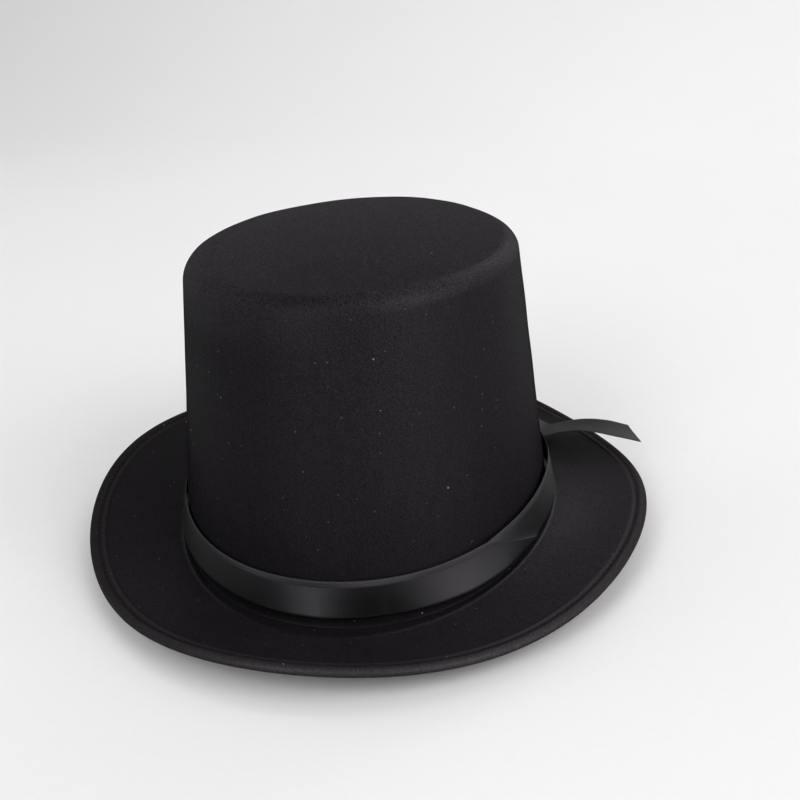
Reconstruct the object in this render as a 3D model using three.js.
// Top hat: moulded crown and brim of satin-faced foam, wired brim edge, tied satin hatband,
// lining, stiffened tip and sweatband.
// Millimetres, +Z up. Front of the hat is -Y, the wearer's left is +X.
// The origin is the centre of the hat's footprint, on the plane the hat rests on.
// Angles run round the head in radians: 0 at the front, a quarter turn at the wearer's left.
import * as THREE from 'three';
import { mergeVertices } from 'three/addons/utils/BufferGeometryUtils.js';

// ---------------------------------------------------------------- driving dimensions
const SEG = 48;               // divisions round the head

// crown, an oval that narrows upwards
const A_BASE = 101.9;         // half length at the base, front to back
const B_BASE = 91.6;          // half width at the base
const A_TIP = 83.8;           // half length at tip height
const B_TIP = 75.3;           // half width at tip height
const CROWN_H = 142.2;        // height of the tip above the base plane
const TIP_R = 8.6;            // rounding where the side turns into the tip
const WALL_TOP = CROWN_H - TIP_R;
const LEAN_X = -0.7;          // how far the tip sits off the base centre
const LEAN_Y = -0.3;

// crown foot
const CREASE_MEAN = 3.0;      // mean height of the crease round the crown foot
const FOOT_H = 6.0;           // height of the foot curve above the crease
const VALLEY_W = 3.2;         // width of the hollow at the crown foot
const VALLEY_D = 1.4;         // its depth below the crease
const CREASE_FRONT = 6.4;     // distance of the crease from the wall, front and back
const CREASE_SIDE = 4.4;      // and at the sides

// brim
const DIP = 0.8;              // depth of the shallow dip outside the crease
const DIP_SPAN = 0.45;        // its share of the way from crease to edge
const BRIM_POWER = 1.25;      // how the brim's height grows towards the edge
const HEM_W = 6.6;            // width of the folded edge
const HEM_GAP = 1.0;          // between the last brim station and the hem
const EDGE_X = -0.8;          // centre of the brim's outline
const EDGE_Y = -0.19;

// Waves round the head: a mean plus multiples of cos and sin of 1, 2, 3, 4 times the angle.
const RISE = { mean: 0, cos: [0, -3.17, 0, 0.82], sin: [] };  // front and back low, sides high
const BRIM_W = { mean: 45.0, cos: [-0.45, -2.45, 0, 0.33], sin: [] };
const EDGE_Z = { mean: 11.99, cos: [-0.45, -0.96, 0.13, 3.65], sin: [-2.51, 2.52] };

// plies, as depths [outer, inner] below the outer face
const COVER = [0.0, 0.7];
const CORE = [1.0, 2.6];
const UNDER = [2.9, 3.6];
const LINING = [2.9, 3.4];
const STIFFENER = [2.9, 3.7];
const TIP_LINING = [4.0, 4.5];
const SWEAT = [3.7, 4.5];

// wire and thread
const WIRE_R = 0.6;
const WIRE_D = 1.8;           // depth of the wire's centre
const WIRE_IN = 2.0;          // distance of the wire's centre from the edge
const THREAD_R = 0.22;

// hatband
const BAND_T = 0.5;
const BAND_TOP = { a: 101.7, b: 91.2, z: 25.5 };
const BAND_LOW = { a: 102.3, b: 94.0, z: 7.7 };
const KNOT_ANGLE = THREE.MathUtils.degToRad(155);
const KNOT = { along: 10.5, up: 8.8, out: 4.6 };  // half sizes
const KNOT_GAP = 0.9;         // between the band's face and the knot
const TAIL_GAP = 0.6;         // between the knot and the start of each tail
const TAIL_W = 16.5;
const TAIL_T = 0.5;

// brings the footprint's centre to x = y = 0 and the lowest point to z = 0
const PLACE = [0.91, -0.27, 4.35];

// ---------------------------------------------------------------- the hat's surface
const vec = (x, y, z) => new THREE.Vector3(x, y, z);
const ease = (t) => t * t * (3 - 2 * t);
const headAngle = (i) => i * 2 * Math.PI / SEG;

function wave(angle, { mean, cos, sin }) {
  let sum = mean;
  cos.forEach((size, i) => { sum += size * Math.cos((i + 1) * angle); });
  sin.forEach((size, i) => { sum += size * Math.sin((i + 1) * angle); });
  return sum;
}

const creaseZ = (angle) => CREASE_MEAN + wave(angle, RISE);

const ovalAt = (angle, a, b, z, cx = 0, cy = 0) =>
  vec(cx + b * Math.sin(angle), cy - a * Math.cos(angle), z);

// level direction square to the base oval, outwards
const ovalNormal = (angle) =>
  vec(Math.sin(angle) / B_BASE, -Math.cos(angle) / A_BASE, 0).normalize();

function wallAt(angle, z, inset = 0) {
  const s = z / CROWN_H;
  const a = A_BASE + (A_TIP - A_BASE) * s;
  const b = B_BASE + (B_TIP - B_BASE) * s;
  return ovalAt(angle, a - inset, b - inset, z, LEAN_X * s, LEAN_Y * s);
}

// outermost line of the brim edge, taken at its outer face
const brimEdge = (angle) =>
  ovalAt(angle, A_BASE, B_BASE, wave(angle, EDGE_Z), EDGE_X, EDGE_Y)
    .addScaledVector(ovalNormal(angle), wave(angle, BRIM_W));

// A station is a zone of the outer face and a value in it:
//   tip       share of the way from the centre to the rounding
//   rounding  degrees up the tip rounding
//   wall      share of the way up the wall
//   foot      share of the way down the foot curve
//   hollow    share of the way from the foot curve to the crease
//   brim      share of the way from the crease to just short of the hem
//   edge      millimetres in from the edge
const stations = (zone, ...values) => values.map((value) => ({ zone, value }));

function outerFace(angle, { zone, value }) {
  if (zone === 'tip') {
    const a = (A_TIP - TIP_R) * value;
    const b = (B_TIP - TIP_R) * value;
    return ovalAt(angle, a, b, CROWN_H, LEAN_X, LEAN_Y);
  }
  if (zone === 'rounding') {
    const t = value * Math.PI / 180;
    return wallAt(angle, WALL_TOP + TIP_R * Math.sin(t), TIP_R * (1 - Math.cos(t)));
  }
  const crease = creaseZ(angle);
  const footTop = crease + FOOT_H;
  if (zone === 'wall') return wallAt(angle, footTop + (WALL_TOP - footTop) * value);

  // outside the wall: z at a distance out, on the level line from the wall to the edge
  const wall = wallAt(angle, footTop);
  const edge = brimEdge(angle);
  const dx = edge.x - wall.x;
  const dy = edge.y - wall.y;
  const span = Math.hypot(dx, dy);
  const creaseOut = CREASE_SIDE + (CREASE_FRONT - CREASE_SIDE) * Math.cos(angle) ** 2;
  const valley = crease - VALLEY_D;
  let out;
  let z;
  if (zone === 'foot') {
    const t = value * Math.PI / 2;
    out = VALLEY_W * (1 - Math.cos(t));
    z = valley + (footTop - valley) * (1 - Math.sin(t));
  } else {
    if (zone === 'hollow') out = VALLEY_W + (creaseOut - VALLEY_W) * value;
    else if (zone === 'brim') out = creaseOut + (span - HEM_W - HEM_GAP - creaseOut) * value;
    else out = span - value;
    if (out < creaseOut) {
      z = valley + (crease - valley) * ease((out - VALLEY_W) / (creaseOut - VALLEY_W));
    } else {
      const t = (out - creaseOut) / (span - creaseOut);
      z = crease + (edge.z - crease) * Math.pow(t, BRIM_POWER);
      if (t < DIP_SPAN) z -= DIP * Math.sin(Math.PI * t / DIP_SPAN) ** 2;
    }
  }
  return vec(wall.x + dx / span * out, wall.y + dy / span * out, z);
}

// small change of a station's value that moves it from the tip towards the edge
const OUTWARD_STEP = {
  rounding: -2, wall: -0.004, foot: 0.03, hollow: 0.03, brim: 0.004, edge: -0.2,
};

function normalAt(angle, station) {
  const { zone, value } = station;
  if (zone === 'tip') return vec(0, 0, 1);
  const step = OUTWARD_STEP[zone];
  const along = outerFace(angle, { zone, value: value + step })
    .sub(outerFace(angle, { zone, value: value - step }));
  const around = outerFace(angle + 0.01, station).sub(outerFace(angle - 0.01, station));
  return along.cross(around).normalize();
}

const plyPoint = (angle, station, depth) =>
  outerFace(angle, station).addScaledVector(normalAt(angle, station), -depth);

// point inside the crown wall, which is carried straight down past the foot
function innerWall(angle, z, depth) {
  const around = wallAt(angle + 0.01, z).sub(wallAt(angle - 0.01, z));
  const up = wallAt(angle, z + 1).sub(wallAt(angle, z - 1));
  return wallAt(angle, z).addScaledVector(around.cross(up).normalize(), -depth);
}

// point near the brim edge; all share the normal found a little way in
const EDGE_NORMAL_AT = { zone: 'edge', value: 3 };
const edgePoint = (inward, depth) => (angle) =>
  outerFace(angle, { zone: 'edge', value: inward })
    .addScaledVector(normalAt(angle, EDGE_NORMAL_AT), -depth);

// ---------------------------------------------------------------- mesh helpers
// joins coincident vertices, drops collapsed triangles and turns the faces outwards
function weld(source) {
  source.deleteAttribute('normal');
  source.deleteAttribute('uv');
  const geometry = mergeVertices(source, 1e-4);
  const position = geometry.attributes.position;
  const old = geometry.index.array;
  const kept = [];
  let volume = 0;
  for (let i = 0; i < old.length; i += 3) {
    const corners = [old[i], old[i + 1], old[i + 2]];
    if (new Set(corners).size < 3) continue;
    const [p, q, r] = corners.map((k) => vec().fromBufferAttribute(position, k));
    volume += p.dot(q.cross(r));
    kept.push(...corners);
  }
  if (volume < 0) {
    for (let i = 0; i < kept.length; i += 3) {
      [kept[i + 1], kept[i + 2]] = [kept[i + 2], kept[i + 1]];
    }
  }
  geometry.setIndex(kept);
  geometry.computeVertexNormals();
  return geometry;
}

// moves every vertex to place(x, y, z)
function reshape(geometry, place) {
  const position = geometry.attributes.position;
  for (let i = 0; i < position.count; i++) {
    const moved = place(position.getX(i), position.getY(i), position.getZ(i));
    position.setXYZ(i, moved.x, moved.y, moved.z);
  }
  return weld(geometry);
}

// Solid carried round the head. Each profile entry gives a point for an angle. The profile
// closes on itself, or with onAxis starts and ends at points that stay put.
function ring(profile, onAxis = false) {
  const count = profile.length;
  const points = [];
  for (let i = 0; i < SEG; i++) {
    for (const pointAt of profile) points.push(...pointAt(headAngle(i)).toArray());
  }
  const position = new THREE.Float32BufferAttribute(points, 3);
  const girth = profile.map((_, row) => {
    let sum = 0;
    for (let i = 0; i < SEG; i++) {
      const k = i * count + row;
      sum += Math.hypot(position.getX(k), position.getY(k));
    }
    return sum;
  });

  // split facets along the same diagonal on every ply, so the gaps between plies stay even
  const index = [];
  const facets = onAxis ? count - 1 : count;
  for (let i = 0; i < SEG; i++) {
    const here = i * count;
    const next = ((i + 1) % SEG) * count;
    for (let row = 0; row < facets; row++) {
      const nextRow = (row + 1) % count;
      const a = here + row;
      const b = next + row;
      const c = next + nextRow;
      const d = here + nextRow;
      if (girth[nextRow] >= girth[row]) index.push(a, b, d, c, d, b);
      else index.push(a, b, c, a, c, d);
    }
  }
  const geometry = new THREE.BufferGeometry();
  geometry.setAttribute('position', position);
  geometry.setIndex(index);
  return weld(geometry);
}

// layer between two depths over a list of rows, each laid by place(angle, row, depth)
function layer(rows, [outer, inner], onAxis = false, place = plyPoint) {
  const front = rows.map((row) => (angle) => place(angle, row, outer));
  const back = rows.map((row) => (angle) => place(angle, row, inner)).reverse();
  return ring([...front, ...back], onAxis);
}

// layer inside the wall; each height is a function of the angle
const wallLayer = (heights, depths) =>
  layer(heights, depths, false, (angle, height, depth) => innerWall(angle, height(angle), depth));

// round cord along centre(angle)
function cord(centre, radius, sides) {
  const profile = Array.from({ length: sides }, (_, i) => {
    const t = i / sides * 2 * Math.PI;
    return (angle) => {
      const middle = centre(angle);
      const outward = middle.clone().setZ(0).normalize();
      return middle.addScaledVector(outward, radius * Math.cos(t))
        .add(vec(0, 0, radius * Math.sin(t)));
    };
  });
  return ring(profile);
}

// ---------------------------------------------------------------- materials
const material = ({ color, roughness, metalness = 0 }) => () =>
  new THREE.MeshStandardMaterial({ color, roughness, metalness });
const MATERIALS = {
  satin: material({ color: 0x1b191b, roughness: 0.62 }),
  underside: material({ color: 0x171618, roughness: 0.75 }),
  foam: material({ color: 0x2a2a2c, roughness: 0.95 }),
  ribbon: material({ color: 0x1c1c1f, roughness: 0.38 }),
  lining: material({ color: 0x151516, roughness: 0.5 }),
  sweat: material({ color: 0x1a191a, roughness: 0.8 }),
  thread: material({ color: 0x111112, roughness: 0.7 }),
  steel: material({ color: 0x9a9a9c, roughness: 0.4, metalness: 1 }),
  card: material({ color: 0xb9ad95, roughness: 0.9 }),
  plastic: material({ color: 0x202022, roughness: 0.5 }),
  label: material({ color: 0xe8e6e0, roughness: 0.8 }),
};

const hat = new THREE.Group();
function add(name, geometry, makeMaterial, parent = hat) {
  const mesh = new THREE.Mesh(geometry, makeMaterial());
  mesh.name = name;
  parent.add(mesh);
  return mesh;
}

// ---------------------------------------------------------------- moulded plies
const hollowAndBrim = [...stations('hollow', 0, 1), ...stations('brim', 0.14, 0.32, 0.66, 1)];
const tipToBrim = [
  ...stations('tip', 0, 0.6, 1),
  ...stations('rounding', 68, 45, 22),
  ...stations('wall', 1, 0.5, 0),
  ...stations('foot', 0.33, 0.66),
  ...hollowAndBrim,
];
const underbrim = [...stations('foot', 0.66), ...hollowAndBrim];

add('cover_cloth', layer(tipToBrim, COVER, true), MATERIALS.satin);
add('foam_core', layer([...tipToBrim, ...stations('edge', 3.3)], CORE, true), MATERIALS.foam);
add('underbrim_cloth', layer(underbrim, UNDER), MATERIALS.underside);

// ---------------------------------------------------------------- brim edge
// folded hem: wraps the edge and is open towards the crown, so the core and the wire sit in it
// [distance in from the edge, depth below the outer face]
const HEM_PROFILE = [
  [HEM_W, -0.1], [5.4, -0.35], [2.6, -0.3], [1.0, 0.25], [0.2, 1.1],
  [0, 1.9], [0.3, 2.8], [1.2, 3.45], [2.6, 3.7], [HEM_W, 3.65],
  [HEM_W, 2.95], [1.6, 3.0], [0.9, 2.3], [0.9, 1.3], [1.6, 0.6], [HEM_W, 0.65],
];
const hem = HEM_PROFILE.map(([inward, depth]) => edgePoint(inward, depth));
add('brim_edge_hem', ring(hem), MATERIALS.satin);

const wireCentre = edgePoint(WIRE_IN, WIRE_D);
add('brim_wire', cord(wireCentre, WIRE_R, 6), MATERIALS.steel);

// crimp sleeve over the wire's joint at the back, straight along one length of the wire
function addWireSleeve() {
  const bore = 0.72;
  const radius = 0.98;
  const half = 6;
  const outline = [[bore, -half], [radius, -half], [radius, half], [bore, half], [bore, -half]];
  const tube = new THREE.LatheGeometry(outline.map(([x, y]) => new THREE.Vector2(x, y)), 10);
  const start = wireCentre(headAngle(SEG / 2));
  const end = wireCentre(headAngle(SEG / 2 + 1));
  const sleeve = add('wire_sleeve', weld(tube), MATERIALS.steel);
  sleeve.position.copy(start.clone().add(end).multiplyScalar(0.5));
  sleeve.quaternion.setFromUnitVectors(vec(0, 1, 0), end.sub(start).normalize());
}
addWireSleeve();

const hemStitch = edgePoint(HEM_W + HEM_GAP / 2, 0.32);
add('hem_stitching', cord(hemStitch, THREAD_R, 4), MATERIALS.thread);

// ---------------------------------------------------------------- inside the crown
add('tip_stiffener', layer(stations('tip', 0, 0.5, 0.97), STIFFENER, true), MATERIALS.card);
add('tip_lining', layer(stations('tip', 0, 0.5, 1), TIP_LINING, true), MATERIALS.lining);

const aboveCrease = (height) => (angle) => height + creaseZ(angle);
const liningHeights = [() => WALL_TOP - 4, () => 84, aboveCrease(34)];
const sweatHeights = [30, 14, -0.6].map(aboveCrease);
add('side_lining', wallLayer(liningHeights, LINING), MATERIALS.lining);
add('sweatband', wallLayer(sweatHeights, SWEAT), MATERIALS.sweat);

// cord inside the wall at a height above the crease
const wallCord = (height, depth, radius, sides) =>
  cord((angle) => innerWall(angle, creaseZ(angle) + height, depth), radius, sides);
add('sweatband_reed', wallCord(-1.7, (SWEAT[0] + SWEAT[1]) / 2, 0.7, 5), MATERIALS.plastic);
add('sweatband_stitching', wallCord(2.4, SWEAT[1] + 0.4, THREAD_R, 4), MATERIALS.thread);

// upright tape inside the sweatband at the back, two head divisions wide
function joinTape() {
  const bottom = 5;           // above the crease
  const height = 23;
  const gap = 0.3;            // from the sweatband
  const thick = 0.5;
  return reshape(new THREE.BoxGeometry(1, 1, 1, 2, 1, 1), (x, y, z) => {
    const angle = Math.PI + x * headAngle(2);
    const level = creaseZ(angle) + bottom + (y + 0.5) * height;
    return innerWall(angle, level, SWEAT[1] + gap + (z + 0.5) * thick);
  });
}
add('sweatband_join_tape', joinTape(), MATERIALS.sweat);

// care label inside the lining at the back
const label = add('care_label', weld(new THREE.BoxGeometry(26, 0.4, 24)), MATERIALS.label);
label.position.set(0, 88.0, 52);

// ---------------------------------------------------------------- hatband
const band = new THREE.Group();
hat.add(band);

// share of the way up the band, inset from its outer face; the band follows the crease's rise
const bandPoint = (share, inset) => (angle) => {
  const between = (key) => BAND_LOW[key] + (BAND_TOP[key] - BAND_LOW[key]) * share;
  const z = between('z') + wave(angle, RISE);
  return ovalAt(angle, between('a') - inset, between('b') - inset, z);
};
const bandProfile = [
  bandPoint(0, 0), bandPoint(0.5, 0), bandPoint(1, 0),
  bandPoint(1, BAND_T), bandPoint(0.5, BAND_T), bandPoint(0, BAND_T),
];
add('hatband_ribbon', ring(bandProfile), MATERIALS.ribbon, band);

// knot, behind the wearer's left side
const knotOut = ovalNormal(KNOT_ANGLE);
const knotAlong = vec(knotOut.y, -knotOut.x, 0);  // along the band, towards the wearer's left
const knotCentre = bandPoint(0.5, 0)(KNOT_ANGLE).addScaledVector(knotOut, KNOT.out + KNOT_GAP);

// sphere squared off by a cubic norm, then pinched in height at the middle
function knot() {
  const pinch = 0.16;
  return reshape(new THREE.SphereGeometry(1, 16, 10), (x, y, z) => {
    const norm = Math.pow(Math.abs(x) ** 3 + Math.abs(y) ** 3 + Math.abs(z) ** 3, 1 / 3);
    const unit = vec(x, y, z).multiplyScalar(1 / norm);
    const tall = 1 - pinch * (1 - unit.x * unit.x);
    return knotCentre.clone()
      .addScaledVector(knotAlong, unit.x * KNOT.along)
      .addScaledVector(vec(0, 0, 1), unit.y * KNOT.up * tall)
      .addScaledVector(knotOut, unit.z * KNOT.out);
  });
}
add('hatband_knot', knot(), MATERIALS.ribbon, band);

// Flat ribbon from one end of the knot (side 1 the wearer's left, -1 the right). It starts on
// edge and has turned nearly flat by the share turnEnd of its length; cut slants its end.
function tail({ side, reach, shift, path, turnEnd, turn, cut, steps }) {
  const root = knotCentre.clone().addScaledVector(knotAlong, side * (KNOT.along + TAIL_GAP));
  const second = root.clone().addScaledVector(knotAlong, side * reach).add(vec(...shift));
  const points = [root, second, ...path.map((point) => vec(...point))];
  const curve = new THREE.CatmullRomCurve3(points);
  return reshape(new THREE.BoxGeometry(1, 1, 1, steps, 2, 1), (x, y, z) => {
    const t = (x + 0.5) * (1 - cut * (0.5 + y));
    const tangent = curve.getTangent(t);
    const flatness = ease(Math.min(1, t / turnEnd));
    const across = vec(-tangent.y, tangent.x, 0).normalize().multiplyScalar(side * flatness)
      .add(vec(0, 0, 1 - turn * flatness)).normalize();
    const normal = tangent.clone().cross(across).normalize();
    const widthways = normal.clone().cross(tangent).normalize();
    return curve.getPoint(t)
      .addScaledVector(widthways, y * TAIL_W)
      .addScaledVector(normal, z * TAIL_T);
  });
}

// reach and shift place the curve's second point; path lists the points after it
const LONG_TAIL = {
  side: 1, reach: 12, shift: [0, 1.5, -1.6],
  path: [
    [79.8, 79, 8.7], [92.0, 76.2, 13.1], [103.0, 74.4, 16.2],
    [112.2, 71.8, 17.3], [122.9, 68.0, 17.5], [136.4, 64.3, 17.6],
  ],
  turnEnd: 0.28, turn: 0.96, cut: 0.14, steps: 22,
};
const SHORT_TAIL = {
  side: -1, reach: 10, shift: [0, 2.5, -0.6],
  path: [[9, 113.5, 14.6], [-4, 118.5, 16.6], [-16, 122, 17.6]],
  turnEnd: 0.45, turn: 0.94, cut: 0.2, steps: 14,
};
add('ribbon_tail_long', tail(LONG_TAIL), MATERIALS.ribbon, band);
add('ribbon_tail_short', tail(SHORT_TAIL), MATERIALS.ribbon, band);

hat.position.set(...PLACE);
export default hat;
